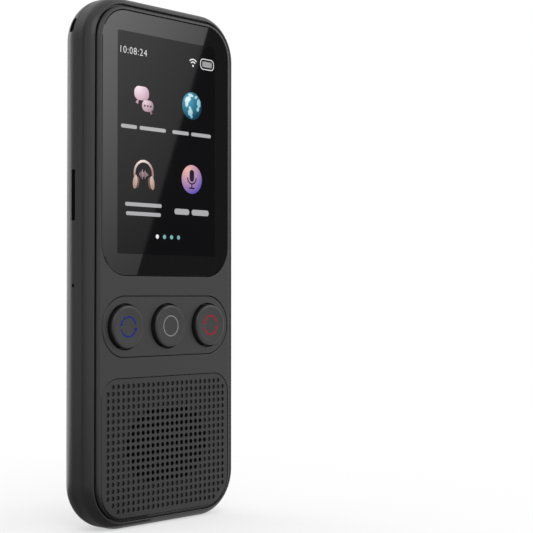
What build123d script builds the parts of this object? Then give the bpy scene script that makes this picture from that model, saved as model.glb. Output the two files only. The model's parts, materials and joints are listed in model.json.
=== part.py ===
from build123d import *
from math import cos, hypot, radians, sin
import os

# Handheld translator: a slim upright case with a screen, three front buttons,
# a speaker behind a drilled panel, two side keys and the works inside.
#
# The body stands on its bottom edge. +Z is up, +X is the right-hand flank as the
# user sees it and -Y is the direction the screen faces. The origin lies on the
# bottom face, midway between the front and the back of the case. Depths are
# measured from the front face towards the back.

# --- Face layout, from the bottom edge up -----------------------------------
face_bottom_margin = 2.8
grille_height = 34.5
grille_gap = 5.2                 # plain strip between grille and button panel
button_panel_height = 15.1
button_gap = 5.1                 # plain strip between button panel and glass
glass_height = 66.0
face_top_margin = 3.3

# --- Face layout, across ----------------------------------------------------
glass_width = 44.8
face_side_margin = 3.6
grille_side_margin = 3.5
button_panel_inset = 0.2         # button panel narrower than the glass, each side

# --- Shell ------------------------------------------------------------------
corner_radius = 11.5
front_edge_radius = 3.2
rear_edge_radius = 6.0
inner_edge_radius = 3.5
wall = 2.05
back_wall = 1.35
rim_drop = 0.1                   # case's rim behind the front face
rim_width = 1.9                  # case's rim round the front, across
rim_inner_radius = 0.3
channel_width = 0.35             # narrow channel between the rim and the face plate
channel_depth = 1.3
plate_edge_radius = 0.9
parting_chamfer = 0.12           # edges of the joint line round the flanks
shell_gap = 0.1
cover_thickness = 2.0
seam = 0.12                      # gap round every inset panel
rim_radius = 0.15                # softened edges of pockets and panels

# --- Glass and display ------------------------------------------------------
glass_thickness = 1.0
glass_corner_radius = 8.0
glass_tape_thickness = 0.1
glass_tape_inset = 0.4
display_side_inset = 3.8         # cell inside the glass's edges
display_top_inset = 2.2
display_bottom_inset = 3.6
display_clearance = 0.3
cell_thickness = 1.2
backlight_thickness = 1.2
tray_wall = 0.2
guide_clearance = 0.05
flex_ledge = 1.8                 # bare strip of the cell that takes the flat cable
flex_thickness = 0.15
flex_seat = 0.25                 # flat cable above the face of its board
flex_stub = 0.3                  # cable end short of the backlight
display_flex_bend = 0.6
display_link_rise = 4.0          # cable's connector above the display's lower edge
link_length = 3.0
link_margin = 2.0                # connector wider than its cable
display_flex_width = 14.0

# --- Board and what stands on it --------------------------------------------
display_clear_depth = 1.1        # room between display and board
board_thickness = 1.0
board_side_gap = 1.55            # board edge to the rear cover's wall
board_corner_radius = 2.0
board_bottom_drop = 9.05         # board reaches this far below the button row
board_top_drop = 13.5            # board stops this far below the top
side_part_height = 1.8           # sockets and switches on the board's back

# --- Chips and their cans; a drop is measured from the board's upper edge ---
core_x = 2.0                     # processor and radio, off the middle
processor_drop = 18.0
processor_size = 11.0
processor_height = 0.9
processor_can_width = 15.0
processor_can_length = 16.0
radio_drop = 40.0
radio_size = 7.0
radio_height = 0.8
radio_can_size = 13.0
can_height = 1.5
can_sheet = 0.2
memory_drop = 54.0
memory_x = -6.5
memory_width = 8.0
memory_length = 9.0
memory_height = 1.0
sound_chip_x = 4.0
sound_chip_size = 5.0
charger_x = 14.0
charger_size = 3.0
crystal_x = 13.0
crystal_drop = 53.0
crystal_length = 2.4
passive_count = 4
passive_x = -12.0
passive_rise = 5.0               # above the board's lower edge
passive_pitch = 2.2
passive_width = 1.6
passive_length = 0.8
passive_height = 0.7

# --- Front buttons ----------------------------------------------------------
cap_gap = 0.33
cap_height = 1.3                 # above the front face
cap_edge_radius = 0.6
cap_dish_depth = 0.15
cap_dish_margin = 1.0
cap_flange_width = 0.8
cap_flange_thickness = 0.7
cap_seat_gap = 0.1
cap_stem_radius = 1.6
button_panel_thickness = 1.2
button_travel = 0.3
contact_gap = 0.05
switch_size = 5.0
switch_height = 1.9
plunger_radius = 1.1
plunger_height = 0.3             # stands proud of its switch
plunger_depth = 0.6
plunger_clearance = 0.08
hole_edge_gap = 0.3              # flange to its hole in the front cover
cap_web = 1.75                   # cover left between two of these holes

# --- Speaker ----------------------------------------------------------------
grille_thickness = 1.2
grille_top_radius = 5.3
grille_bottom_radius = 7.5
hole_pitch = 1.7
hole_radius = 0.56
hole_edge_margin = 1.5
dimple_depth = 0.35
sound_side_margin = 8.05         # panel's edge to the field of through holes
sound_end_margin = 7.55
speaker_rim = 1.05
mesh_thickness = 0.1
mesh_clearance = 0.1
gasket_thickness = 0.5
gasket_width = 1.5
speaker_wall = 1.2
speaker_depth = 4.2
speaker_back_wall = 1.0
speaker_corner_radius = 4.0
speaker_wire_radius = 0.3
speaker_wire_x = 9.75
speaker_wire_pitch = 1.5
speaker_wire_run = 3.0           # straight stretch at either end
cone_edge_gap = 0.3
cone_thickness = 0.4
cone_front_gap = 0.4
pot_radius = 7.0
pot_depth = 3.0
pot_floor = 0.9
pole_radius = 3.3
pot_gap = 1.0                    # ring gap in which the coil moves
coil_thickness = 0.4
coil_length = 1.9
pot_proud = 0.2
pot_clearance = 0.03
ear_reach = 1.9                  # screw beyond the basket's side
ear_set_back = 1.5
ear_thickness = 1.0
ear_radius = 1.7

# --- Battery ----------------------------------------------------------------
battery_thickness = 3.5
battery_width = 34.0
battery_antenna_gap = 3.0
battery_clearance = 0.2
battery_tape = 0.15
battery_corner_radius = 1.5
battery_rise = 0.3               # battery's lower edge above the glass's
battery_tape_inset = 3.0
battery_link_x = 10.0
battery_link_rise = 13.0         # its header above the board's lower edge
header_width = 4.5
header_height = 1.5
plug_length = 2.0
plug_width = 4.0
battery_wire_radius = 0.35
battery_wire_pitch = 1.6
wire_bend = 0.6
wire_slack = 1.4

# --- Keys on the right flank ------------------------------------------------
key_width = 2.2
key_proud = 0.95
key_edge_radius = 0.75
key_gap = 0.18
power_length = 10.8
power_top_drop = 25.35           # middle of the power key below the top
volume_length = 18.8
key_spacing = 4.45               # between the two keys
key_flange_thickness = 0.7
key_flange_width = 3.2
key_flange_reach = 0.8
rocker_half_flange = 2.6
rocker_switch_offset = 6.0
rocker_gap = 0.2                 # post to switch, more than the rocker's swing
power_travel = 0.25
side_switch_length = 3.3
side_switch_width = 4.6
side_plunger_radius = 0.6
side_plunger_proud = 0.6
side_plunger_depth = 0.7
board_edge_set_back = 0.5        # switch body behind the board's edge
post_half_width = 0.6
post_half_length = 1.0

# --- Left flank -------------------------------------------------------------
card_slot_length = 12.5
card_slot_width = 1.3
card_drop = 49.65                # middle of the card slot below the top
socket_length = 14.0
socket_depth = 14.4
socket_wall = 0.25
microphone_rise = 10.15          # above the button row
microphone_hole_radius = 0.45
boot_size = 3.0
boot_height = 1.7
microphone_size = 3.2
microphone_height = 1.4
microphone_set_back = 1.6        # behind the board's edge
microphone_port_depth = 1.0
boot_clearance = 0.05

# --- Lanyard eye in the upper left corner -----------------------------------
eye_angle = 160.0                # round the corner, from +X
eye_slot_length = 3.9
eye_slot_width = 1.8
eye_cover = 0.6                  # wall between the slot and the joint line
eye_slot_depth = 4.2
eye_inset = 3.3
eye_radius = 1.1
eye_wall = 1.5

# --- Charging socket --------------------------------------------------------
usb_width = 9.0
usb_height = 3.2
usb_length = 7.3
usb_corner_radius = 1.3
usb_wall = 0.25
usb_set_back = 0.7               # mouth behind the bottom face
usb_clearance = 0.15
usb_boss_height = 2.35
usb_boss_radius = 1.6
usb_board_width = 18.0
usb_board_height = 9.3
usb_board_start = 3.2
usb_board_thickness = 0.8
usb_screw_inset = 2.2
tongue_thickness = 0.7
tongue_width = 6.7
tongue_base = 1.4
tongue_set_back = 1.0
tongue_clearance = 0.02
usb_flex_width = 6.0
usb_flex_bend = 1.5
usb_flex_slope = 6.0             # height over which the cable crosses to the board
usb_link_rise = 2.5              # its connector above the board's lower edge
usb_link_height = 1.0

# --- Fasteners --------------------------------------------------------------
boss_radius = 1.5
pilot_radius = 0.65
pilot_depth = 2.0
screw_radius = 0.62
screw_length = 1.6               # grip below the clamped sheet
screw_hole_radius = 0.9
screw_head_radius = 1.4
screw_head_height = 0.6
screw_slot_width = 0.4
screw_slot_depth = 0.3
board_screw_inset = 1.8
low_screw_rise = 3.0             # above the board's lower edge
middle_screw_rise = 2.0          # above the display's lower edge
high_screw_drop = 4.5            # below the board's upper edge

# --- Snap hooks and support ribs --------------------------------------------
hook_width = 5.0
hook_leg = 0.9
hook_root = 1.5                  # stretch of a hook's leg that grows from the front cover's wall
hook_length = 1.4                # past the joint line
hook_nose = 0.3
hook_nose_height = 0.8
hook_play = 0.12
rib_reach = 0.8
rib_width = 1.2
grille_hook_rise = 10.0          # above the middle of the grille
card_hook_rise = 22.0            # above the card slot
glass_hook_rise = 4.0            # above the glass's lower edge
top_hook_x = 8.0
bottom_hook_x = 12.0
bottom_rib_x = 8.0
corner_rib_drop = 2.5            # below the start of the upper corners
card_rib_rise = 14.0
volume_rib_drop = 14.0
cut_over = 1.0                   # cuts run this far past the skin

# --- Antenna ----------------------------------------------------------------
antenna_width = 24.0
antenna_height = 9.0
antenna_drop = 7.0
antenna_thickness = 0.15
antenna_lead_radius = 0.4
antenna_plug_radius = 1.1
antenna_plug_height = 1.0
antenna_plug_margin = 0.6        # plug to the board's edge
antenna_plug_inset = 2.0         # plug inside the antenna's side
antenna_lead_bend = 1.0
antenna_lead_slope = 2.8
antenna_lead_rise = 0.8
antenna_lead_inset = 1.0

# --- Derived sizes ----------------------------------------------------------
body_width = glass_width + 2 * face_side_margin
opening_half = body_width / 2 - wall

grille_bottom = face_bottom_margin
grille_z = grille_bottom + grille_height / 2
grille_top = grille_bottom + grille_height
button_panel_bottom = grille_top + grille_gap
button_z = button_panel_bottom + button_panel_height / 2
glass_bottom = button_panel_bottom + button_panel_height + button_gap
glass_top = glass_bottom + glass_height
glass_z = glass_bottom + glass_height / 2
body_height = glass_top + face_top_margin

grille_width = body_width - 2 * grille_side_margin
button_panel_width = glass_width - 2 * button_panel_inset
button_pitch = (button_panel_width - button_panel_height) / 2

glass_pocket = glass_thickness + glass_tape_thickness
cell_back = glass_pocket + cell_thickness
display_back = cell_back + backlight_thickness
board_front = display_back + display_clear_depth
board_back = board_front + board_thickness
side_line = board_back + side_part_height / 2
battery_front = board_back + side_part_height + battery_clearance
back_inner = battery_front + battery_thickness + battery_tape
body_depth = back_inner + back_wall
parting_depth = body_depth / 2

display_width = glass_width - 2 * display_side_inset
display_top = glass_top - display_top_inset
display_bottom = glass_bottom + display_bottom_inset
display_height = display_top - display_bottom
display_z = (display_top + display_bottom) / 2
board_half = opening_half - board_side_gap
board_bottom = button_z - board_bottom_drop
board_top = body_height - board_top_drop
screw_x = board_half - board_screw_inset
screw_heights = (board_bottom + low_screw_rise, display_bottom + middle_screw_rise,
                 board_top - high_screw_drop)

power_z = body_height - power_top_drop
volume_z = power_z - power_length / 2 - key_spacing - volume_length / 2
card_z = body_height - card_drop
microphone_z = button_z + microphone_rise
battery_bottom = glass_bottom + battery_rise
antenna_top = body_height - antenna_drop
antenna_bottom = antenna_top - antenna_height
battery_top = antenna_bottom - battery_antenna_gap
corner_z = body_height - corner_radius
corner_x = corner_radius - body_width / 2
eye_line = parting_depth + eye_cover + eye_slot_width / 2
eye_reach = corner_radius - eye_inset
eye_x = corner_x + eye_reach * cos(radians(eye_angle))
eye_z = corner_z + eye_reach * sin(radians(eye_angle))

usb_board_back = back_inner - usb_boss_height
usb_board_front = usb_board_back - usb_board_thickness
usb_line = usb_board_front - usb_height / 2
usb_screw_x = usb_board_width / 2 - usb_screw_inset
usb_screw_z = usb_board_start + usb_board_height - usb_screw_inset

sound_width = grille_width - 2 * sound_side_margin
sound_height = grille_height - 2 * sound_end_margin
speaker_width = sound_width + 2 * speaker_rim
speaker_height = sound_height + 2 * speaker_rim
speaker_front = cover_thickness + gasket_thickness
speaker_back = speaker_front + speaker_depth
ear_x = speaker_width / 2 + ear_reach
ear_front = speaker_front + ear_set_back

button_columns = {"talk_blue": -button_pitch, "home": 0.0, "talk_red": button_pitch}
cap_hole_radius = (button_pitch - cap_web) / 2
flange_radius = cap_hole_radius - hole_edge_gap
cap_radius = flange_radius - cap_flange_width
cap_flange_front = button_panel_thickness + cap_seat_gap
cap_flange_back = cap_flange_front + cap_flange_thickness
switch_front = board_front - switch_height
plunger_front = switch_front - plunger_height
cap_stem_back = plunger_front - contact_gap

# Snap hooks and support ribs sit in turn round the rim, clear of keys and slots.
side_hooks = [(side, z) for side in (-1, 1) for z in (grille_z + grille_hook_rise, button_z)]
side_hooks += [(-1, card_z + card_hook_rise), (1, glass_bottom + glass_hook_rise)]
end_hooks = [(0, -bottom_hook_x), (0, bottom_hook_x), (1, -top_hook_x), (1, top_hook_x)]
rib_levels = (grille_z, grille_top + grille_gap / 2, corner_z - corner_rib_drop)
side_ribs = [(side, z) for side in (-1, 1) for z in rib_levels]
side_ribs += [(-1, card_z + card_rib_rise), (1, volume_z - volume_rib_drop)]
end_ribs = [(0, -bottom_rib_x), (0, bottom_rib_x), (1, 0.0)]


# --- Shared construction helpers --------------------------------------------
def behind(depth):
    """Plane parallel to the front face, this far behind it, seen from the front."""
    return Plane.XZ.offset(body_depth / 2 - depth)


def at_depth(depth):
    """Y coordinate of a depth behind the front face."""
    return depth - body_depth / 2


def block(x, depth, z, mode=Mode.ADD):
    """Box between two x values, two depths and two heights."""
    centre = (sum(x) / 2, at_depth(sum(depth) / 2), sum(z) / 2)
    with Locations(centre):
        Box(abs(x[1] - x[0]), depth[1] - depth[0], abs(z[1] - z[0]), mode=mode)


def rod(x, z, radius, depth, mode=Mode.ADD):
    """Cylinder square to the front face, between two depths."""
    centre = Location((x, at_depth(sum(depth) / 2), z), (90, 0, 0))
    with Locations(centre):
        Cylinder(radius, depth[1] - depth[0], mode=mode)


def side_rod(x, depth, z, radius, mode=Mode.ADD):
    """Cylinder along X, between two x values."""
    centre = Location((sum(x) / 2, at_depth(depth), z), (0, 90, 0))
    with Locations(centre):
        Cylinder(radius, x[1] - x[0], mode=mode)


def body_outline(inset):
    """Rounded outline of the case, set in by a distance."""
    with Locations((0, body_height / 2)):
        RectangleRounded(body_width - 2 * inset, body_height - 2 * inset, corner_radius - inset)


def grille_outline(plane, margin):
    """Outline of the grille panel, grown by a margin; its lower corners are rounder."""
    with BuildSketch(plane) as outline:
        with Locations((0, grille_z)):
            Rectangle(grille_width + 2 * margin, grille_height + 2 * margin)
        fillet(outline.vertices().group_by(Axis.Y)[-1], grille_top_radius + margin)
        fillet(outline.vertices().group_by(Axis.Y)[0], grille_bottom_radius + margin)
    return outline.sketch


def key_outline(z, length, width):
    """Key outline on the right flank, a slot that runs up the side."""
    with Locations((at_depth(side_line), z)):
        SlotOverall(length, width, rotation=90)


def strip(name, points, radius, width, x=0.0):
    """Flat cable through (depth, height) points, bent at a radius."""
    with BuildPart() as cable:
        with BuildSketch(Plane.YZ.offset(x - width / 2)):
            with BuildLine():
                FilletPolyline(*[(at_depth(d), z) for d, z in points], radius=radius)
            trace(line_width=flex_thickness)
        extrude(amount=width)
    save(cable, name)


def wire_run(points, radius, bend, x):
    """Round wire through (depth, height) points at one x."""
    path = [(x, at_depth(d), z) for d, z in points]
    with BuildLine() as route:
        FilletPolyline(*path, radius=bend)
    with BuildSketch(Plane(route.line @ 0, z_dir=route.line % 0)) as section:
        Circle(radius)
    sweep(section.sketch, path=route.line)


def screw(x, z, seat, grip):
    """Pan-head screw driven from the back: its head rests at the seat depth."""
    rod(x, z, screw_head_radius, (seat, seat + screw_head_height))
    rod(x, z, screw_radius, (seat - grip - screw_length, seat))
    slot = (seat + screw_head_height - screw_slot_depth, seat + screw_head_height)
    block((x - screw_head_radius, x + screw_head_radius), slot,
          (z - screw_slot_width / 2, z + screw_slot_width / 2), mode=Mode.SUBTRACT)


def save(builder, name):
    """Label a finished piece and write it to its own file."""
    builder.part.label = name
    export_step(builder.part, f"parts/{name}.step")


os.makedirs("parts", exist_ok=True)


# --- Space inside the two covers: ribs and bosses stand into it --------------
with BuildPart() as hollow:
    with BuildSketch(behind(back_inner)):
        body_outline(wall)
    extrude(amount=back_inner - cover_thickness)
    fillet(hollow.faces().sort_by(Axis.Y)[-1].edges(), inner_edge_radius)
    for side, z in side_ribs:
        block((side * (opening_half - rib_reach), side * opening_half), (cover_thickness, back_inner),
              (z - rib_width / 2, z + rib_width / 2), mode=Mode.SUBTRACT)
    for end, x in end_ribs:
        level = wall + end * (body_height - 2 * wall - rib_reach)
        block((x - rib_width / 2, x + rib_width / 2), (cover_thickness, back_inner),
              (level, level + rib_reach), mode=Mode.SUBTRACT)
    for x in (-usb_screw_x, usb_screw_x):
        rod(x, usb_screw_z, usb_boss_radius, (usb_board_back, back_inner), mode=Mode.SUBTRACT)
    rod(eye_x, eye_z, eye_radius + eye_wall, (parting_depth, back_inner), mode=Mode.SUBTRACT)


def cut_flank_openings():
    """Openings that both covers share: key slots, card slot, microphone hole, socket mouth."""
    with BuildSketch(Plane.YZ.offset(opening_half - shell_gap)) as key_slots:
        key_outline(power_z, power_length + 2 * key_gap, key_width + 2 * key_gap)
        key_outline(volume_z, volume_length + 2 * key_gap, key_width + 2 * key_gap)
    extrude(key_slots.sketch, amount=wall + 2 * shell_gap, mode=Mode.SUBTRACT)
    left_wall = (-body_width / 2 - shell_gap, shell_gap - opening_half)
    block(left_wall, (side_line - card_slot_width / 2, side_line + card_slot_width / 2),
          (card_z - card_slot_length / 2, card_z + card_slot_length / 2), mode=Mode.SUBTRACT)
    side_rod(left_wall, side_line, microphone_z, microphone_hole_radius, mode=Mode.SUBTRACT)
    with BuildSketch(Plane.XY.offset(wall + shell_gap)) as mouth:
        with Locations((0, at_depth(usb_line))):
            RectangleRounded(usb_width + 2 * usb_clearance, usb_height + 2 * usb_clearance,
                             usb_corner_radius + usb_clearance)
    extrude(mouth.sketch, amount=-wall - 2 * shell_gap, mode=Mode.SUBTRACT)


# --- Rear cover: one moulding with the back and the rear half of the flanks --
with BuildPart() as rear_cover:
    with BuildSketch(behind(body_depth)):
        body_outline(0)
    extrude(amount=body_depth - parting_depth)
    fillet(rear_cover.faces().sort_by(Axis.Y)[-1].edges(), rear_edge_radius)
    chamfer(rear_cover.faces().sort_by(Axis.Y)[0].edges(), parting_chamfer)
    add(hollow.part, mode=Mode.SUBTRACT)
    cut_flank_openings()

    # Recesses that take the front cover's snap hooks.
    nose_front = parting_depth + hook_length - hook_nose_height - hook_play
    nose_back = parting_depth + hook_length + hook_play
    half_width = hook_width / 2 + hook_play
    for side, z in side_hooks:
        block((side * (opening_half - shell_gap), side * (opening_half + hook_nose + hook_play)),
              (nose_front, nose_back), (z - half_width, z + half_width), mode=Mode.SUBTRACT)
    for end, x in end_hooks:
        rim = wall - hook_nose - hook_play if end == 0 else body_height - wall - shell_gap
        block((x - half_width, x + half_width), (nose_front, nose_back),
              (rim, rim + hook_nose + hook_play + shell_gap), mode=Mode.SUBTRACT)

    # Screw holes for the charging socket's board.
    for x in (-usb_screw_x, usb_screw_x):
        pilot = (usb_board_back, usb_board_back + pilot_depth)
        rod(x, usb_screw_z, pilot_radius, pilot, mode=Mode.SUBTRACT)

    # Lanyard eye: a slot in the corner meets a round hole from the back.
    outward = (cos(radians(eye_angle)), 0, sin(radians(eye_angle)))
    slot_floor = corner_radius - eye_slot_depth
    floor_x = corner_x + slot_floor * outward[0]
    floor_z = corner_z + slot_floor * outward[2]
    with BuildSketch(Plane((floor_x, at_depth(eye_line), floor_z), x_dir=(0, 1, 0), z_dir=outward)):
        SlotOverall(eye_slot_length, eye_slot_width, rotation=90)
    extrude(amount=eye_slot_depth + cut_over, mode=Mode.SUBTRACT)
    rod(eye_x, eye_z, eye_radius, (eye_line, body_depth), mode=Mode.SUBTRACT)
save(rear_cover, "rear_cover")


# --- Front cover: rim, front half of the flanks, and the raised face plate ---
with BuildPart() as face_plate:
    with BuildSketch(behind(cover_thickness)):
        body_outline(rim_width + channel_width)
    extrude(amount=cover_thickness)
    fillet(face_plate.faces().sort_by(Axis.Y)[0].edges(), plate_edge_radius)

with BuildPart() as front_cover:
    with BuildSketch(behind(parting_depth)):
        body_outline(0)
    extrude(amount=parting_depth - rim_drop)
    fillet(front_cover.faces().sort_by(Axis.Y)[0].edges(), front_edge_radius)
    chamfer(front_cover.faces().sort_by(Axis.Y)[-1].edges(), parting_chamfer)
    with BuildSketch(behind(channel_depth)):
        body_outline(rim_width)
    extrude(amount=channel_depth, mode=Mode.SUBTRACT)
    fillet(front_cover.edges().group_by(Axis.Y)[0], rim_inner_radius)
    add(face_plate.part)
    add(hollow.part, mode=Mode.SUBTRACT)
    cut_flank_openings()

    # Pockets for the glass, the button panel and the grille panel.
    with BuildSketch(behind(glass_pocket)):
        with Locations((0, glass_z)):
            RectangleRounded(glass_width + 2 * seam, glass_height + 2 * seam, glass_corner_radius + seam)
    extrude(amount=glass_pocket, mode=Mode.SUBTRACT)
    with BuildSketch(behind(button_panel_thickness)):
        with Locations((0, button_z)):
            SlotOverall(button_panel_width + 2 * seam, button_panel_height + 2 * seam)
    extrude(amount=button_panel_thickness, mode=Mode.SUBTRACT)
    extrude(grille_outline(behind(grille_thickness), seam), amount=grille_thickness, mode=Mode.SUBTRACT)
    pocket_rims = front_cover.faces().sort_by(Axis.Y)[0].inner_wires().edges()
    fillet(pocket_rims, rim_radius)

    # Windows through the pocket floors.
    with BuildSketch(behind(cover_thickness)):
        with Locations((0, display_z)):
            Rectangle(display_width + 2 * display_clearance, display_height + 2 * display_clearance)
        with Locations([(x, button_z) for x in button_columns.values()]):
            Circle(cap_hole_radius)
        with Locations((0, grille_z)):
            RectangleRounded(sound_width + 2 * mesh_clearance, sound_height + 2 * mesh_clearance,
                             speaker_corner_radius)
    extrude(amount=cover_thickness, mode=Mode.SUBTRACT)

    # Screw bosses for the board and the speaker.
    for x in (-screw_x, screw_x):
        for z in screw_heights:
            rod(x, z, boss_radius, (cover_thickness, board_front))
            rod(x, z, pilot_radius, (board_front - pilot_depth, board_front), mode=Mode.SUBTRACT)
    for x in (-ear_x, ear_x):
        rod(x, grille_z, boss_radius, (cover_thickness, ear_front))
        rod(x, grille_z, pilot_radius, (ear_front - pilot_depth, ear_front), mode=Mode.SUBTRACT)

    # Snap hooks that hold the rear cover.
    root_depth = (parting_depth - hook_root, parting_depth)
    leg_depth = (parting_depth - hook_root, parting_depth + hook_length)
    nose_depth = (leg_depth[1] - hook_nose_height, leg_depth[1])
    for side, z in side_hooks:
        span = (z - hook_width / 2, z + hook_width / 2)
        leg = opening_half - shell_gap
        block((side * (leg - hook_leg), side * leg), leg_depth, span)
        block((side * leg, side * opening_half), root_depth, span)
        block((side * leg, side * (leg + shell_gap + hook_nose)), nose_depth, span)
    for end, x in end_hooks:
        span = (x - hook_width / 2, x + hook_width / 2)
        low = wall + shell_gap if end == 0 else body_height - wall - shell_gap - hook_leg
        root_low = wall if end == 0 else body_height - wall - shell_gap
        nose_low = wall - hook_nose if end == 0 else body_height - wall - shell_gap
        block(span, leg_depth, (low, low + hook_leg))
        block(span, root_depth, (root_low, root_low + shell_gap))
        block(span, nose_depth, (nose_low, nose_low + hook_nose + shell_gap))
save(front_cover, "front_cover")


# --- Glass and the tape under its edge --------------------------------------
with BuildPart() as cover_glass:
    with BuildSketch(behind(glass_thickness)):
        with Locations((0, glass_z)):
            RectangleRounded(glass_width, glass_height, glass_corner_radius)
    extrude(amount=glass_thickness)
    chamfer(cover_glass.faces().sort_by(Axis.Y)[0].edges(), rim_radius)
save(cover_glass, "cover_glass")

with BuildPart() as glass_tape:
    with BuildSketch(behind(glass_pocket)):
        with Locations((0, glass_z)):
            RectangleRounded(glass_width - 2 * glass_tape_inset, glass_height - 2 * glass_tape_inset,
                             glass_corner_radius - glass_tape_inset)
        with Locations((0, display_z)):
            Rectangle(display_width + 2 * display_clearance, display_height + 2 * display_clearance,
                      mode=Mode.SUBTRACT)
    extrude(amount=glass_tape_thickness)
save(glass_tape, "glass_tape")


# --- Display: liquid-crystal cell, steel tray with the light guide ----------
half_display = display_width / 2
tray_bottom = display_bottom + flex_ledge
with BuildPart() as display_panel:
    block((-half_display, half_display), (glass_pocket, cell_back), (display_bottom, display_top))
save(display_panel, "display_panel")

with BuildPart() as display_frame:
    block((-half_display, half_display), (cell_back, display_back), (tray_bottom, display_top))
    block((tray_wall - half_display, half_display - tray_wall), (cell_back, display_back - tray_wall),
          (tray_bottom + tray_wall, display_top - tray_wall), mode=Mode.SUBTRACT)
save(display_frame, "display_frame")

with BuildPart() as light_guide:
    inset = tray_wall + guide_clearance
    block((inset - half_display, half_display - inset), (cell_back, display_back - tray_wall),
          (tray_bottom + inset, display_top - inset))
save(light_guide, "light_guide")

flex_line = cell_back + flex_thickness / 2
socket_line = board_front - flex_seat - flex_thickness / 2
flex_turn = display_bottom - display_flex_bend
display_link_z = display_bottom + display_link_rise
strip("display_flex", [(flex_line, tray_bottom - flex_stub), (flex_line, flex_turn),
                       (socket_line, flex_turn), (socket_line, display_link_z)],
      display_flex_bend, display_flex_width)


# --- Button panel, caps, switches and plungers ------------------------------
with BuildPart() as button_panel:
    with BuildSketch(behind(button_panel_thickness)):
        with Locations((0, button_z)):
            SlotOverall(button_panel_width, button_panel_height)
        with Locations([(x, button_z) for x in button_columns.values()]):
            Circle(cap_radius + cap_gap, mode=Mode.SUBTRACT)
    extrude(amount=button_panel_thickness)
    chamfer(button_panel.faces().sort_by(Axis.Y)[0].edges(), rim_radius)
save(button_panel, "button_panel")


def cap_profile(x):
    """Half section of a cap on the plane through its own axis."""
    top = at_depth(-cap_height)
    dish = cap_radius - cap_dish_margin
    shoulder = cap_radius - cap_edge_radius
    flange_front = at_depth(cap_flange_front)
    flange_back = at_depth(cap_flange_back)
    stem_end = at_depth(cap_stem_back)
    with BuildSketch(Plane((x, 0, button_z), x_dir=(1, 0, 0), z_dir=(0, 0, 1))) as section:
        with BuildLine():
            ThreePointArc((0, top + cap_dish_depth), (dish / 2, top + cap_dish_depth * 0.75), (dish, top))
            Line((dish, top), (shoulder, top))
            RadiusArc((shoulder, top), (cap_radius, top + cap_edge_radius), -cap_edge_radius)
            Polyline((cap_radius, top + cap_edge_radius), (cap_radius, flange_front),
                     (flange_radius, flange_front), (flange_radius, flange_back),
                     (cap_stem_radius, flange_back), (cap_stem_radius, stem_end),
                     (0, stem_end), (0, top + cap_dish_depth))
        make_face()
    return section.sketch


for name, x in button_columns.items():
    with BuildPart() as cap:
        revolve(cap_profile(x), axis=Axis((x, 0, button_z), (0, 1, 0)))
    save(cap, f"{name}_button")

    with BuildPart() as tact_switch:
        block((x - switch_size / 2, x + switch_size / 2), (switch_front, board_front),
              (button_z - switch_size / 2, button_z + switch_size / 2))
        bore_end = switch_front + plunger_depth + button_travel + contact_gap
        rod(x, button_z, plunger_radius + plunger_clearance, (switch_front, bore_end), mode=Mode.SUBTRACT)
    save(tact_switch, f"{name}_switch")

    with BuildPart() as plunger:
        rod(x, button_z, plunger_radius, (plunger_front, switch_front + plunger_depth))
    save(plunger, f"{name}_plunger")


# --- Grille panel: through holes over the speaker, blind dimples round them -
def inside_panel(x, z):
    """True where a hole centre keeps its margin from the panel's rounded outline."""
    radius = grille_top_radius if z > 0 else grille_bottom_radius
    over_x = abs(x) - (grille_width / 2 - radius)
    over_z = abs(z) - (grille_height / 2 - radius)
    if over_x > 0 and over_z > 0:
        return hypot(over_x, over_z) <= radius - hole_edge_margin
    return True


columns = int((grille_width / 2 - hole_edge_margin) / hole_pitch)
rows = int((grille_height / 2 - hole_edge_margin) / hole_pitch)
grid = [(i * hole_pitch, j * hole_pitch)
        for i in range(-columns, columns + 1) for j in range(-rows, rows + 1)]
grid = [(x, z) for x, z in grid if inside_panel(x, z)]
sound_holes = [(x, z) for x, z in grid if hypot(2 * x / sound_width, 2 * z / sound_height) <= 1]
dimples = [spot for spot in grid if spot not in sound_holes]

with BuildPart() as speaker_grille:
    extrude(grille_outline(behind(grille_thickness), 0), amount=grille_thickness)
    chamfer(speaker_grille.faces().sort_by(Axis.Y)[0].edges(), rim_radius)
    with BuildSketch(behind(grille_thickness)):
        with Locations([(x, z + grille_z) for x, z in sound_holes]):
            Circle(hole_radius)
    extrude(amount=grille_thickness, mode=Mode.SUBTRACT)
    with BuildSketch(behind(dimple_depth)):
        with Locations([(x, z + grille_z) for x, z in dimples]):
            Circle(hole_radius)
    extrude(amount=dimple_depth, mode=Mode.SUBTRACT)
save(speaker_grille, "speaker_grille")


# --- Speaker: mesh, foam gasket, basket, pot magnet and cone ----------------
with BuildPart() as dust_mesh:
    with BuildSketch(behind(grille_thickness + mesh_thickness)):
        with Locations((0, grille_z)):
            RectangleRounded(sound_width, sound_height, speaker_corner_radius)
    extrude(amount=mesh_thickness)
save(dust_mesh, "dust_mesh")


def speaker_outline(inset):
    """Rounded outline of the speaker, set in by a distance."""
    with Locations((0, grille_z)):
        RectangleRounded(speaker_width - 2 * inset, speaker_height - 2 * inset,
                         speaker_corner_radius - inset)


with BuildPart() as speaker_gasket:
    with BuildSketch(behind(speaker_front)):
        speaker_outline(0)
        with Locations((0, grille_z)):
            RectangleRounded(speaker_width - 2 * gasket_width, speaker_height - 2 * gasket_width,
                             speaker_corner_radius - gasket_width, mode=Mode.SUBTRACT)
    extrude(amount=gasket_thickness)
save(speaker_gasket, "speaker_gasket")

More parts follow.
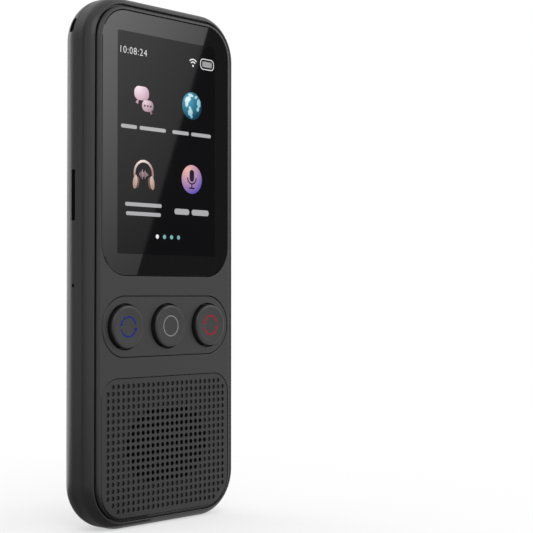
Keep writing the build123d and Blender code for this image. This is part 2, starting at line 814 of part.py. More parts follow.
with BuildPart() as speaker_frame:
    with BuildSketch(behind(speaker_back)):
        speaker_outline(0)
    extrude(amount=speaker_depth)
    with BuildSketch(behind(speaker_back - speaker_back_wall)):
        speaker_outline(speaker_wall)
    extrude(amount=speaker_depth - speaker_back_wall, mode=Mode.SUBTRACT)
    rod(0, grille_z, pot_radius + pot_clearance, (speaker_front, speaker_back), mode=Mode.SUBTRACT)
    with BuildSketch(behind(ear_front + ear_thickness)):
        for side in (-1, 1):
            with Locations((side * (speaker_width / 2 + ear_reach / 2), grille_z)):
                Rectangle(ear_reach, 2 * ear_radius)
            with Locations((side * ear_x, grille_z)):
                Circle(ear_radius)
    extrude(amount=ear_thickness)
    for x in (-ear_x, ear_x):
        rod(x, grille_z, screw_hole_radius, (ear_front, ear_front + ear_thickness), mode=Mode.SUBTRACT)
save(speaker_frame, "speaker_frame")

pot_back = speaker_back + pot_proud
pot_front = pot_back - pot_depth
with BuildPart() as speaker_magnet:
    rod(0, grille_z, pot_radius, (pot_front, pot_back))
    rod(0, grille_z, pole_radius + pot_gap, (pot_front, pot_back - pot_floor), mode=Mode.SUBTRACT)
    rod(0, grille_z, pole_radius, (pot_front, pot_back - pot_floor))
save(speaker_magnet, "speaker_magnet")

cone_front = speaker_front + cone_front_gap
coil_radius = pole_radius + pot_gap / 2 + coil_thickness / 2
with BuildPart() as speaker_cone:
    with BuildSketch(behind(cone_front + cone_thickness)):
        speaker_outline(speaker_wall + cone_edge_gap)
    extrude(amount=cone_thickness)
    rod(0, grille_z, coil_radius, (cone_front + cone_thickness, cone_front + cone_thickness + coil_length))
    rod(0, grille_z, coil_radius - coil_thickness,
        (cone_front + cone_thickness, cone_front + cone_thickness + coil_length), mode=Mode.SUBTRACT)
save(speaker_cone, "speaker_cone")

speaker_top = grille_z + speaker_height / 2
exit_line = speaker_back - speaker_back_wall - speaker_wire_radius
pad_line = board_back + speaker_wire_radius
with BuildPart() as speaker_leads:
    for x in (-speaker_wire_x, speaker_wire_pitch - speaker_wire_x):
        wire_run([(exit_line, speaker_top), (exit_line, speaker_top + speaker_wire_run),
                  (pad_line, board_bottom - speaker_wire_run), (pad_line, board_bottom + speaker_wire_run)],
                 speaker_wire_radius, wire_bend, x)
save(speaker_leads, "speaker_leads")


# --- Main board with its parts ----------------------------------------------
with BuildPart() as main_board:
    with BuildSketch(behind(board_back)):
        with Locations((0, (board_top + board_bottom) / 2)):
            RectangleRounded(2 * board_half, board_top - board_bottom, board_corner_radius)
        with Locations([(x, z) for x in (-screw_x, screw_x) for z in screw_heights]):
            Circle(screw_hole_radius, mode=Mode.SUBTRACT)
    extrude(amount=board_thickness)
save(main_board, "main_board")

with BuildPart() as board_screws:
    for x in (-screw_x, screw_x):
        for z in screw_heights:
            screw(x, z, board_back, board_thickness)
save(board_screws, "board_screws")

with BuildPart() as speaker_screws:
    for x in (-ear_x, ear_x):
        screw(x, grille_z, ear_front + ear_thickness, ear_thickness)
save(speaker_screws, "speaker_screws")


def parts_on(depth, spots):
    """Flat components on one face of the board, as (x, z, width, height, rise)."""
    for x, z, width, height, rise in spots:
        levels = sorted((depth, depth + rise))
        block((x - width / 2, x + width / 2), levels, (z - height / 2, z + height / 2))


# Processor and radio under their cans, the small parts in the open.
processor_z = board_top - processor_drop
radio_z = board_top - radio_drop
memory_z = board_top - memory_drop
crystal_z = board_top - crystal_drop
with BuildPart() as board_chips:
    parts_on(board_back, [
        (core_x, processor_z, processor_size, processor_size, processor_height),
        (core_x, radio_z, radio_size, radio_size, radio_height),
        (memory_x, memory_z, memory_width, memory_length, memory_height),
        (sound_chip_x, memory_z, sound_chip_size, sound_chip_size, processor_height),
        (charger_x, processor_z, charger_size, charger_size, memory_height),
        (crystal_x, crystal_z, charger_size, crystal_length, radio_height),
    ])
    for i in range(passive_count):
        passive_z = board_bottom + passive_rise + i * passive_pitch
        parts_on(board_back, [(passive_x, passive_z, passive_width, passive_length, passive_height)])
save(board_chips, "board_chips")


def can(z, width, length):
    """Sheet-metal lid over the chips, open towards the board."""
    parts_on(board_back, [(core_x, z, width, length, can_height)])
    half = width / 2 - can_sheet
    block((core_x - half, core_x + half), (board_back, board_back + can_height - can_sheet),
          (z - length / 2 + can_sheet, z + length / 2 - can_sheet), mode=Mode.SUBTRACT)


with BuildPart() as shield_cans:
    can(processor_z, processor_can_width, processor_can_length)
    can(radio_z, radio_can_size, radio_can_size)
save(shield_cans, "shield_cans")

# Connectors: display cable on the front, charging cable and battery on the back.
usb_link_z = board_bottom + usb_link_rise
battery_link_z = board_bottom + battery_link_rise
display_link_height = display_clear_depth - 2 * flex_thickness
half_link = link_length / 2
with BuildPart() as board_connectors:
    parts_on(board_front, [
        (0, display_link_z + half_link, display_flex_width + link_margin, link_length, -display_link_height),
    ])
    parts_on(board_back, [
        (0, usb_link_z + half_link, usb_flex_width + link_margin, link_length, usb_link_height),
        (battery_link_x, battery_link_z, header_width, link_length, header_height),
    ])
save(board_connectors, "board_connectors")


# --- Side keys and their switches -------------------------------------------
edge = board_half - board_edge_set_back
plunger_tip = edge + side_plunger_proud
flange_outer = opening_half - shell_gap
flange_inner = flange_outer - key_flange_thickness
key_face = body_width / 2 + key_proud


def side_switch(name, z, travel):
    """Switch body and plunger on the board's right edge."""
    with BuildPart() as body:
        block((edge - side_switch_length, edge), (board_back, board_back + side_part_height),
              (z - side_switch_width / 2, z + side_switch_width / 2))
        bore = (edge - side_plunger_depth - travel - contact_gap, edge)
        side_rod(bore, side_line, z, side_plunger_radius + plunger_clearance, mode=Mode.SUBTRACT)
    save(body, f"{name}_switch")
    with BuildPart() as pin:
        side_rod((edge - side_plunger_depth, plunger_tip), side_line, z, side_plunger_radius)
    save(pin, f"{name}_plunger")


def key_block(z, length):
    """Outer bar of a key: a slot shape pushed out of the flank with rounded edges."""
    with BuildSketch(Plane.YZ.offset(flange_outer)) as bar:
        key_outline(z, length, key_width)
    extrude(bar.sketch, amount=key_face - flange_outer)


side_switch("power", power_z, power_travel)
side_switch("volume_up", volume_z + rocker_switch_offset, power_travel)
side_switch("volume_down", volume_z - rocker_switch_offset, power_travel)

flange_depth = (side_line - key_flange_width / 2, side_line + key_flange_width / 2)
post_depth = (side_line - post_half_width, side_line + post_half_width)
with BuildPart() as power_key:
    key_block(power_z, power_length)
    fillet(power_key.faces().sort_by(Axis.X)[-1].edges(), key_edge_radius)
    reach = power_length / 2 + key_flange_reach
    block((flange_inner, flange_outer), flange_depth, (power_z - reach, power_z + reach))
    block((plunger_tip + contact_gap, flange_inner), post_depth,
          (power_z - post_half_length, power_z + post_half_length))
save(power_key, "power_key")

with BuildPart() as volume_key:
    key_block(volume_z, volume_length)
    fillet(volume_key.faces().sort_by(Axis.X)[-1].edges(), key_edge_radius)
    half_bar = volume_length / 2 - key_width / 2
    block((flange_inner, flange_outer), (side_line - key_width / 2, side_line + key_width / 2),
          (volume_z - half_bar, volume_z + half_bar))
    block((flange_inner, flange_outer), flange_depth,
          (volume_z - rocker_half_flange, volume_z + rocker_half_flange))
    for offset in (-rocker_switch_offset, rocker_switch_offset):
        block((plunger_tip + rocker_gap, flange_inner), post_depth,
              (volume_z + offset - post_half_length, volume_z + offset + post_half_length))
save(volume_key, "volume_key")


# --- Card socket and microphone on the left ---------------------------------
with BuildPart() as card_socket:
    mouth = -board_half - boot_clearance
    outer = (board_back, board_back + side_part_height)
    span = (card_z - socket_length / 2, card_z + socket_length / 2)
    block((mouth, mouth + socket_depth), outer, span)
    block((mouth, mouth + socket_depth - socket_wall), (outer[0] + socket_wall, outer[1] - socket_wall),
          (span[0] + socket_wall, span[1] - socket_wall), mode=Mode.SUBTRACT)
save(card_socket, "card_socket")

with BuildPart() as mic_boot:
    boot = (-opening_half + boot_clearance, microphone_set_back - board_half)
    block(boot, (side_line - boot_height / 2, side_line + boot_height / 2),
          (microphone_z - boot_size / 2, microphone_z + boot_size / 2))
    side_rod(boot, side_line, microphone_z, microphone_hole_radius, mode=Mode.SUBTRACT)
save(mic_boot, "mic_boot")

with BuildPart() as microphone:
    block((boot[1], boot[1] + microphone_size), (board_back, board_back + microphone_height),
          (microphone_z - microphone_size / 2, microphone_z + microphone_size / 2))
    port = (boot[1], boot[1] + microphone_port_depth)
    side_rod(port, side_line, microphone_z, microphone_hole_radius, mode=Mode.SUBTRACT)
save(microphone, "microphone")


# --- Battery with its tape and lead -----------------------------------------
battery_back = back_inner - battery_tape
with BuildPart() as battery:
    block((-battery_width / 2, battery_width / 2), (battery_front, battery_back),
          (battery_bottom, battery_top))
    fillet(battery.edges().filter_by(Axis.Z), battery_corner_radius)
save(battery, "battery")

with BuildPart() as battery_adhesive:
    taped = battery_width / 2 - battery_tape_inset
    block((-taped, taped), (battery_back, back_inner),
          (battery_bottom + battery_tape_inset, battery_top - battery_tape_inset))
save(battery_adhesive, "battery_tape")

with BuildPart() as battery_lead:
    plug_top = battery_link_z + half_link + plug_length
    plug_line = board_back + header_height / 2
    battery_line = (battery_front + battery_back) / 2
    block((battery_link_x - plug_width / 2, battery_link_x + plug_width / 2),
          (board_back, board_back + header_height), (battery_link_z + half_link, plug_top))
    for x in (battery_link_x - battery_wire_pitch / 2, battery_link_x + battery_wire_pitch / 2):
        wire_run([(plug_line, plug_top), (plug_line, plug_top + wire_slack),
                  (battery_line, battery_bottom - wire_slack), (battery_line, battery_bottom)],
                 battery_wire_radius, wire_bend, x)
save(battery_lead, "battery_lead")


# --- Charging socket on its own small board ---------------------------------
def usb_profile(level, inset):
    """Socket outline on a level plane, set in by a wall."""
    with BuildSketch(Plane.XY.offset(level)) as outline:
        with Locations((0, at_depth(usb_line))):
            RectangleRounded(usb_width - 2 * inset, usb_height - 2 * inset, usb_corner_radius - inset)
    return outline.sketch


with BuildPart() as usb_shell:
    extrude(usb_profile(usb_set_back, 0), amount=usb_length)
    extrude(usb_profile(usb_set_back, usb_wall), amount=usb_length, mode=Mode.SUBTRACT)
save(usb_shell, "usb_shell")

with BuildPart() as usb_tongue:
    base = usb_set_back + usb_length - tongue_base
    extrude(usb_profile(base, usb_wall + tongue_clearance), amount=tongue_base)
    block((-tongue_width / 2, tongue_width / 2),
          (usb_line - tongue_thickness / 2, usb_line + tongue_thickness / 2),
          (usb_set_back + tongue_set_back, base))
save(usb_tongue, "usb_tongue")

with BuildPart() as usb_board:
    block((-usb_board_width / 2, usb_board_width / 2), (usb_board_front, usb_board_back),
          (usb_board_start, usb_board_start + usb_board_height))
    for x in (-usb_screw_x, usb_screw_x):
        rod(x, usb_screw_z, screw_hole_radius, (usb_board_front, usb_board_back), mode=Mode.SUBTRACT)
save(usb_board, "usb_board")

with BuildPart() as usb_screws:
    head = usb_board_front - screw_head_height
    for x in (-usb_screw_x, usb_screw_x):
        rod(x, usb_screw_z, screw_head_radius, (head, usb_board_front))
        rod(x, usb_screw_z, screw_radius, (usb_board_front, usb_board_back + screw_length))
        block((x - screw_head_radius, x + screw_head_radius), (head, head + screw_slot_depth),
              (usb_screw_z - screw_slot_width / 2, usb_screw_z + screw_slot_width / 2), mode=Mode.SUBTRACT)
save(usb_screws, "usb_screws")

usb_flex_low = usb_board_back + flex_thickness / 2
usb_flex_high = board_back + flex_seat
usb_flex_top = board_bottom - speaker_wire_run
strip("usb_flex", [(usb_flex_low, usb_screw_z), (usb_flex_low, usb_flex_top - usb_flex_slope),
                   (usb_flex_high, usb_flex_top), (usb_flex_high, usb_link_z)],
      usb_flex_bend, usb_flex_width)


# --- Antenna on the inside of the back --------------------------------------
antenna_front = back_inner - antenna_thickness
with BuildPart() as antenna:
    block((-antenna_width / 2, antenna_width / 2), (antenna_front, back_inner),
          (antenna_bottom, antenna_top))
save(antenna, "antenna")

with BuildPart() as antenna_lead:
    plug_x = antenna_width / 2 - antenna_plug_inset
    plug_z = board_top - antenna_plug_radius - antenna_plug_margin
    bend_z = board_top + antenna_lead_rise
    lead_start = board_back + antenna_plug_height / 2
    lead_end = antenna_front - antenna_lead_radius
    rod(plug_x, plug_z, antenna_plug_radius, (board_back, board_back + antenna_plug_height))
    wire_run([(lead_start, plug_z), (lead_start, bend_z), (lead_end, bend_z + antenna_lead_slope),
              (lead_end, antenna_top - antenna_lead_inset)], antenna_lead_radius, antenna_lead_bend, plug_x)
save(antenna_lead, "antenna_lead")
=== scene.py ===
import json
from math import cos, hypot, pi, radians, sin

import bmesh
import bpy
from mathutils import Matrix, Vector


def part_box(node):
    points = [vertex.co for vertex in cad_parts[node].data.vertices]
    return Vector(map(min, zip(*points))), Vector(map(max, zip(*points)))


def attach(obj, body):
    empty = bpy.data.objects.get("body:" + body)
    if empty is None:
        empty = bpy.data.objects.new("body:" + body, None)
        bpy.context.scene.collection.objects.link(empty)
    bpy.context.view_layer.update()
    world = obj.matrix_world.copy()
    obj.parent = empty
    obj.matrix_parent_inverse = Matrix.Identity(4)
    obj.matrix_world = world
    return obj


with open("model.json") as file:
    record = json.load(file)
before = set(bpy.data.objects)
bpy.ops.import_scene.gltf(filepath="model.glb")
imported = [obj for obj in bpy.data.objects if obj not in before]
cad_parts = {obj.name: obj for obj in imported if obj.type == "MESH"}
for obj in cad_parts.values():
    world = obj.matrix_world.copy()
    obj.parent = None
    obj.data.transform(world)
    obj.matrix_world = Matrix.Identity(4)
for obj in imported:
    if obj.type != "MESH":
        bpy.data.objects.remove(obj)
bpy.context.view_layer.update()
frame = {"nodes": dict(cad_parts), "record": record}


# --- Case: front cover, rear cover and button panel --------------------------
# Two black ABS mouldings meet at mid depth and snap together, and a small moulded panel
# is let into the front one round the buttons. The mould is spark-eroded all over.
mm = 0.001


def linear(hex_colour):
    """An sRGB hex value as a linear colour with full opacity."""
    shares = [int(hex_colour[i:i + 2], 16) / 255 for i in (1, 3, 5)]
    return [c / 12.92 if c <= 0.04045 else ((c + 0.055) / 1.055) ** 2.4 for c in shares] + [1.0]


def add_node(owner, kind, settings=None, links=None):
    """A shader node with its settings, and what is linked to its sockets."""
    node = owner.node_tree.nodes.new("ShaderNode" + kind)
    for key, value in (settings or {}).items():
        if isinstance(key, int) or key in node.inputs:
            node.inputs[key].default_value = value
        else:
            setattr(node, key, value)
    for socket, (source, output) in (links or {}).items():
        owner.node_tree.links.new(source.outputs[output], node.inputs[socket])
    return node


def new_material(name):
    """A material with an empty node tree."""
    material = bpy.data.materials.new(name)
    material.use_nodes = True
    material.node_tree.nodes.clear()
    return material


def moulded_plastic(name, dark, light, roughness, grain, relief):
    """An eroded moulding: faint flow marks in tone and gloss over an even fine grain."""
    flow_width = 14 * mm
    gloss_spread = 0.03
    material = new_material(name)
    place = add_node(material, "TexCoord")
    flow = add_node(material, "TexNoise", {"Scale": 1 / flow_width, "Detail": 3.0},
                    {"Vector": (place, "Object")})
    skin = add_node(material, "TexNoise", {"Scale": 1 / grain, "Detail": 2.0}, {"Vector": (place, "Object")})
    tone = add_node(material, "Mix", {"data_type": "RGBA", 6: linear(dark), 7: linear(light)},
                    {0: (flow, "Fac")})
    gloss = add_node(material, "MapRange",
                     {"To Min": roughness - gloss_spread, "To Max": roughness + gloss_spread},
                     {"Value": (flow, "Fac")})
    bump = add_node(material, "Bump", {"Strength": 0.35, "Distance": relief}, {"Height": (skin, "Fac")})
    shader = add_node(material, "BsdfPrincipled", {"IOR": 1.5},
                      {"Base Color": (tone, 2), "Roughness": (gloss, "Result"), "Normal": (bump, "Normal")})
    add_node(material, "OutputMaterial", {}, {"Surface": (shader, "BSDF")})
    return material


def finish_nodes(slot, material):
    """Gives every solid of a material slot its real finish."""
    for part in frame["record"]["subparts"]:
        if part["material_slot"] == slot:
            for holder in frame["nodes"][part["node"]].material_slots:
                holder.material = material


# Black ABS from an eroded mould: matt, with a soft sheen only where it turns away. Its
# grain is about 0.1 mm, and is drawn at 0.3 mm to show at all.
finish_nodes("case_plastic",
             moulded_plastic("matt_case_abs", "#151516", "#18181a", roughness=0.40,
                             grain=0.3 * mm, relief=0.01 * mm))


# --- Speaker grille ----------------------------------------------------------
# A separate ABS panel let into the front cover. Its holes go through over the speaker
# and stop short as dimples round it. It is a touch duller than the cover.
finish_nodes("grille_plastic",
             moulded_plastic("dull_grille_abs", "#0f0f10", "#121213", roughness=0.48,
                             grain=0.3 * mm, relief=0.01 * mm))


# --- Speaker behind the grille -----------------------------------------------
# A moulded basket carries a pot magnet and a film cone, screwed up against a foam ring
# and a woven dust mesh. The same rolled steel serves for the frames and screws inside.
def woven_mesh_with_shaded_gaps(name, colour, pitch):
    """Polyester mesh: two crossed sets of threads, with painted shade making the gaps between them near
    black.
    """
    wave_scale = 1 / (pitch * 2 * pi)
    thread_depth = 0.03 * mm
    material = new_material(name)
    place = add_node(material, "TexCoord")
    across = add_node(material, "TexWave", {"Scale": wave_scale, "bands_direction": "X"},
                      {"Vector": (place, "Object")})
    along = add_node(material, "TexWave", {"Scale": wave_scale, "bands_direction": "Z"},
                     {"Vector": (place, "Object")})
    thread = add_node(material, "Math", {"operation": "MAXIMUM"}, {0: (across, "Fac"), 1: (along, "Fac")})
    # Painted shade: the gaps between the threads, where the bump is lowest, are coloured near black.
    tone = add_node(material, "Mix", {"data_type": "RGBA", 6: linear("#020202"), 7: linear(colour)},
                    {0: (thread, "Value")})
    bump = add_node(material, "Bump", {"Strength": 0.5, "Distance": thread_depth},
                    {"Height": (thread, "Value")})
    shader = add_node(material, "BsdfPrincipled", {"Roughness": 0.8},
                      {"Base Color": (tone, 2), "Normal": (bump, "Normal")})
    add_node(material, "OutputMaterial", {}, {"Surface": (shader, "BSDF")})
    return material


def pitted_cells_with_pit_shade(name, dark, light, cell):
    """Cut foam, tape or film: a random cell pattern of small pits, with painted shade darkening the tone
    towards the bottom of each pit.
    """
    pit_depth = 0.05 * mm
    material = new_material(name)
    place = add_node(material, "TexCoord")
    cells = add_node(material, "TexVoronoi", {"Scale": 1 / cell}, {"Vector": (place, "Object")})
    # Painted shade: the tone follows the pit depth, darkest at the bottom of each pit.
    tone = add_node(material, "Mix", {"data_type": "RGBA", 6: linear(dark), 7: linear(light)},
                    {0: (cells, "Distance")})
    bump = add_node(material, "Bump", {"Strength": 0.6, "Distance": pit_depth},
                    {"Height": (cells, "Distance")})
    shader = add_node(material, "BsdfPrincipled", {"Roughness": 0.85},
                      {"Base Color": (tone, 2), "Normal": (bump, "Normal")})
    add_node(material, "OutputMaterial", {}, {"Surface": (shader, "BSDF")})
    return material


def rolled_metal(name, colour, roughness, grain):
    """Rolled or turned metal: fine drawn lines that stretch the reflections."""
    line_stretch = (1.0, 1.0, 0.06)
    line_depth = 0.01 * mm
    smoother = 0.08
    rougher = 0.1
    material = new_material(name)
    place = add_node(material, "TexCoord")
    stretch = add_node(material, "Mapping", {"Scale": line_stretch}, {"Vector": (place, "Object")})
    lines = add_node(material, "TexNoise", {"Scale": 1 / grain, "Detail": 4.0},
                     {"Vector": (stretch, "Vector")})
    gloss = add_node(material, "MapRange",
                     {"To Min": roughness - smoother, "To Max": roughness + rougher},
                     {"Value": (lines, "Fac")})
    bump = add_node(material, "Bump", {"Strength": 0.2, "Distance": line_depth}, {"Height": (lines, "Fac")})
    shader = add_node(material, "BsdfPrincipled", {"Base Color": linear(colour), "Metallic": 1.0},
                      {"Roughness": (gloss, "Result"), "Normal": (bump, "Normal")})
    add_node(material, "OutputMaterial", {}, {"Surface": (shader, "BSDF")})
    return material


# Woven polyester: dull black with a square weave. Its threads lie 0.12 mm apart, and are
# drawn about twice as far apart to show at all.
finish_nodes("black_mesh", woven_mesh_with_shaded_gaps("woven_polyester_mesh", "#0c0c0d", pitch=0.12 * mm))
# Cut rubber foam: fully matt, with painted shade making its pits dark grey.
finish_nodes("foam", pitted_cells_with_pit_shade("cut_rubber_foam", "#0a0a0a", "#2a2a2a", cell=0.35 * mm))
# Pressed film cone: dark grey, slightly mottled by painted shade in its pits.
finish_nodes("cone_film", pitted_cells_with_pit_shade("pressed_cone_film", "#2c2c2e", "#3c3c40", cell=0.8 * mm))
# Glass-filled PBT: black with a dry, slightly uneven sheen.
finish_nodes("speaker_plastic",
             moulded_plastic("glass_filled_pbt", "#1a1a1a", "#222222", roughness=0.5,
                             grain=0.4 * mm, relief=0.01 * mm))
# Nickel-plated pot magnet: a warm bright grey with turning lines.
finish_nodes("magnet_steel", rolled_metal("nickel_plated_steel", "#b8b4ac", roughness=0.25, grain=0.2 * mm))
# Rolled stainless sheet and machine screws: cool grey with short lines.
finish_nodes("steel", rolled_metal("rolled_stainless_steel", "#c4c6c8", roughness=0.3, grain=0.15 * mm))


# --- Display module ----------------------------------------------------------
# A liquid-crystal cell on an acrylic light guide in a folded steel tray, with a flat
# cable to the main board. All of it is held up against the glass with a ring of tape.
def polished_cell(name, colour):
    """Polariser film over glass: black, with a faint sparkle of cells in its gloss."""
    cell_size = 0.2 * mm
    smoothest = 0.12
    roughest = 0.2
    material = new_material(name)
    place = add_node(material, "TexCoord")
    cells = add_node(material, "TexNoise", {"Scale": 1 / cell_size, "Detail": 1.0},
                     {"Vector": (place, "Object")})
    gloss = add_node(material, "MapRange", {"To Min": smoothest, "To Max": roughest},
                     {"Value": (cells, "Fac")})
    shader = add_node(material, "BsdfPrincipled", {"Base Color": linear(colour)},
                      {"Roughness": (gloss, "Result")})
    add_node(material, "OutputMaterial", {}, {"Surface": (shader, "BSDF")})
    return material


# Polariser film: black and shiny.
finish_nodes("display_cell", polished_cell("polarised_display_cell", "#08080a"))
# Cast acrylic guide: milky white, with a smooth even gloss.
finish_nodes("clear_plastic",
             moulded_plastic("cast_acrylic_guide", "#d8dadc", "#e2e4e6", roughness=0.2,
                             grain=0.8 * mm, relief=0.004 * mm))
# Polyimide film over copper: amber, smooth, with a soft gloss.
finish_nodes("flat_cable",
             moulded_plastic("polyimide_film", "#7a4310", "#8c5014", roughness=0.3,
                             grain=0.6 * mm, relief=0.004 * mm))
# Double-sided tape: black and matt, a little pitted, with painted shade in the pits.
finish_nodes("tape", pitted_cells_with_pit_shade("black_adhesive_tape", "#101010", "#1a1a1a", cell=0.4 * mm))


# --- Circuit boards, plungers, battery and leads -----------------------------
# Two glass-epoxy boards carry the chips, cans and switches. Nylon plungers stand
# between the keys and the switches, and a foil battery lies taped in the rear cover.
def circuit_board(name, mask, trace, pitch):
    """Glass-epoxy board: solder mask with slightly raised copper traces under it."""
    black = (0, 0, 0, 1)
    white = (1, 1, 1, 1)
    trace_depth = 0.03 * mm
    material = new_material(name)
    place = add_node(material, "TexCoord")
    traces = add_node(material, "TexBrick",
                      {"Scale": 1 / pitch, "Mortar Size": 0.06, "Brick Width": 1.6, "Row Height": 0.7,
                       "Color1": black, "Color2": black, "Mortar": white}, {"Vector": (place, "Object")})
    tone = add_node(material, "Mix", {"data_type": "RGBA", 6: linear(mask), 7: linear(trace)},
                    {0: (traces, "Fac")})
    bump = add_node(material, "Bump", {"Strength": 0.4, "Distance": trace_depth},
                    {"Height": (traces, "Fac")})
    shader = add_node(material, "BsdfPrincipled", {"Roughness": 0.35},
                      {"Base Color": (tone, 2), "Normal": (bump, "Normal")})
    add_node(material, "OutputMaterial", {}, {"Surface": (shader, "BSDF")})
    return material


# Green solder mask: glossy, with lighter upright traces 3.8 mm apart, 1.6 times the pitch.
# A face that lies level with a row of the pattern is the lighter green all over.
finish_nodes("board_laminate", circuit_board("green_solder_mask", "#0b3d1c", "#1d6a34", pitch=2.4 * mm))
# Moulded epoxy packages: black, dry and very fine-grained.
finish_nodes("chip_black",
             moulded_plastic("moulded_epoxy", "#121213", "#1a1a1b", roughness=0.55,
                             grain=0.15 * mm, relief=0.01 * mm))
# Moulded nylon: milky white, waxy.
finish_nodes("plunger_plastic",
             moulded_plastic("moulded_nylon", "#bfbfba", "#c8c8c4", roughness=0.45,
                             grain=0.3 * mm, relief=0.006 * mm))
# Aluminium foil pouch: dull silver with soft creases.
finish_nodes("battery_wrap", rolled_metal("crimped_foil_pouch", "#8c8e92", roughness=0.4, grain=0.9 * mm))
# PVC insulation: black with a smooth satin skin.
finish_nodes("wire_cover",
             moulded_plastic("pvc_insulation", "#161616", "#1c1c1c", roughness=0.4,
                             grain=0.3 * mm, relief=0.004 * mm))


# --- Front buttons and their printed marks -----------------------------------
# Three dished caps of satin black ABS. Each has a pad-printed mark in its dish: two
# arrows that chase each other, in blue and in red, and a thin grey ring between them.
finish_nodes("cap_plastic",
             moulded_plastic("satin_cap_abs", "#17171a", "#1b1b1d", roughness=0.36,
                             grain=0.3 * mm, relief=0.008 * mm))


def printed_ink(name, colour):
    """Pad-printed ink: flat, nearly without gloss, its cover slightly uneven."""
    patch_size = 0.5 * mm
    thinnest = 0.75
    material = new_material(name)
    place = add_node(material, "TexCoord")
    cover = add_node(material, "TexNoise", {"Scale": 1 / patch_size, "Detail": 2.0},
                     {"Vector": (place, "Object")})
    full = linear(colour)
    thin = [share * thinnest for share in full[:3]] + [1.0]
    tone = add_node(material, "Mix", {"data_type": "RGBA", 6: thin, 7: full}, {0: (cover, "Fac")})
    shader = add_node(material, "BsdfPrincipled", {"Roughness": 0.8, "IOR": 1.25}, {"Base Color": (tone, 2)})
    add_node(material, "OutputMaterial", {}, {"Surface": (shader, "BSDF")})
    return material


def add_band(mesh, x, y, radius, stroke, start, sweep, steps=32):
    """A flat ring, or a part of one from a start angle through a sweep, in millimetres."""
    whole_ring = abs(sweep) > 2 * pi - 0.001
    ends = []
    for reach in (radius - stroke / 2, radius + stroke / 2):
        ends.append(mesh.verts.new((x + reach * cos(start), y + reach * sin(start), 0)))
    edge = mesh.edges.new(ends)
    bmesh.ops.spin(mesh, geom=[edge, *ends], cent=(x, y, 0), axis=(0, 0, 1), angle=sweep, steps=steps,
                   use_merge=whole_ring)


def add_arrowhead(mesh, radius, size, angle):
    """A flat triangle on a ring, pointing on round it against the clock."""
    head = bmesh.ops.create_circle(mesh, cap_ends=True, segments=3, radius=size)["verts"]
    bmesh.ops.rotate(mesh, verts=head, cent=(0, 0, 0), matrix=Matrix.Rotation(angle + pi / 2, 3, "Z"))
    bmesh.ops.translate(mesh, verts=head, vec=(radius * cos(angle), radius * sin(angle), 0))


def thicken(mesh, root, proud):
    """Makes a flat drawing solid, from below the surface it lies on to just above it."""
    weld_distance = 0.002
    bmesh.ops.remove_doubles(mesh, verts=mesh.verts[:], dist=weld_distance)
    bmesh.ops.translate(mesh, verts=mesh.verts[:], vec=(0, 0, -root))
    raised = bmesh.ops.extrude_face_region(mesh, geom=mesh.faces[:], use_keep_orig=True)["geom"]
    tops = [part for part in raised if isinstance(part, bmesh.types.BMVert)]
    bmesh.ops.translate(mesh, verts=tops, vec=(0, 0, root + proud))
    bmesh.ops.recalc_face_normals(mesh, faces=mesh.faces[:])


def make_piece(name, mesh, turn, material, body):
    """A finished piece from a drawing: put in place, riding on a body, finished as a slot."""
    mesh.transform(turn)
    data = bpy.data.meshes.new(name)
    mesh.to_mesh(data)
    mesh.free()
    data.materials.append(material)
    piece = bpy.data.objects.new(name, data)
    bpy.context.scene.collection.objects.link(piece)
    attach(piece, body)


# Drawings lie flat and are in millimetres. This stands them up to face the front.
face_forward = Matrix.Rotation(radians(90), 4, "X") @ Matrix.Scale(mm, 4)
# The hollow of a cap, and how far the ink reaches into it and stands out of it.
dish_depth = 0.15
dish_radius = 4.35
ink_root = 0.04
ink_proud = 0.012


def print_in_dish(name, mesh, button, body, colour):
    """Thickens a mark a little, lays it into a cap's hollow and prints it there."""
    thicken(mesh, ink_root, ink_proud)
    for vertex in mesh.verts:
        reach = hypot(vertex.co.x, vertex.co.y)
        vertex.co.z -= dish_depth * (1 - (reach / dish_radius) ** 2)
    low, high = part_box(button)
    centre = Matrix.Translation(((low.x + high.x) / 2, low.y, (low.z + high.z) / 2))
    make_piece(name, mesh, centre @ face_forward, printed_ink(f"{name}_ink", colour), body)


# The two arrows of a mark: each starts at an angle, sweeps on and ends in a head.
arrow_ring = 2.45
arrow_start = radians(14)
arrow_sweep = radians(138)
head_angle = radians(164)
arrow_marks = (("talk_blue", 0.38, 0.68, "#131c7e"), ("talk_red", 0.48, 0.76, "#8f1e27"))
for name, stroke, head_size, colour in arrow_marks:
    mark = bmesh.new()
    for half_turn in (0, pi):
        add_band(mark, 0, 0, arrow_ring, stroke, arrow_start + half_turn, arrow_sweep)
        add_arrowhead(mark, arrow_ring, head_size, head_angle + half_turn)
    print_in_dish(f"{name}_mark", mark, f"{name}_button", f"{name}_cap", colour)

mark = bmesh.new()
add_band(mark, 0, 0, radius=2.55, stroke=0.24, start=0.0, sweep=2 * pi, steps=96)
print_in_dish("home_mark", mark, "home_button", "home_cap", "#8c8c8e")


# --- Side keys ---------------------------------------------------------------
# The power key and the volume key are satin black bars of ABS that stand a little out
# of slots in the right flank.
finish_nodes("key_plastic",
             moulded_plastic("satin_key_abs", "#141415", "#18181a", roughness=0.36,
                             grain=0.3 * mm, relief=0.008 * mm))


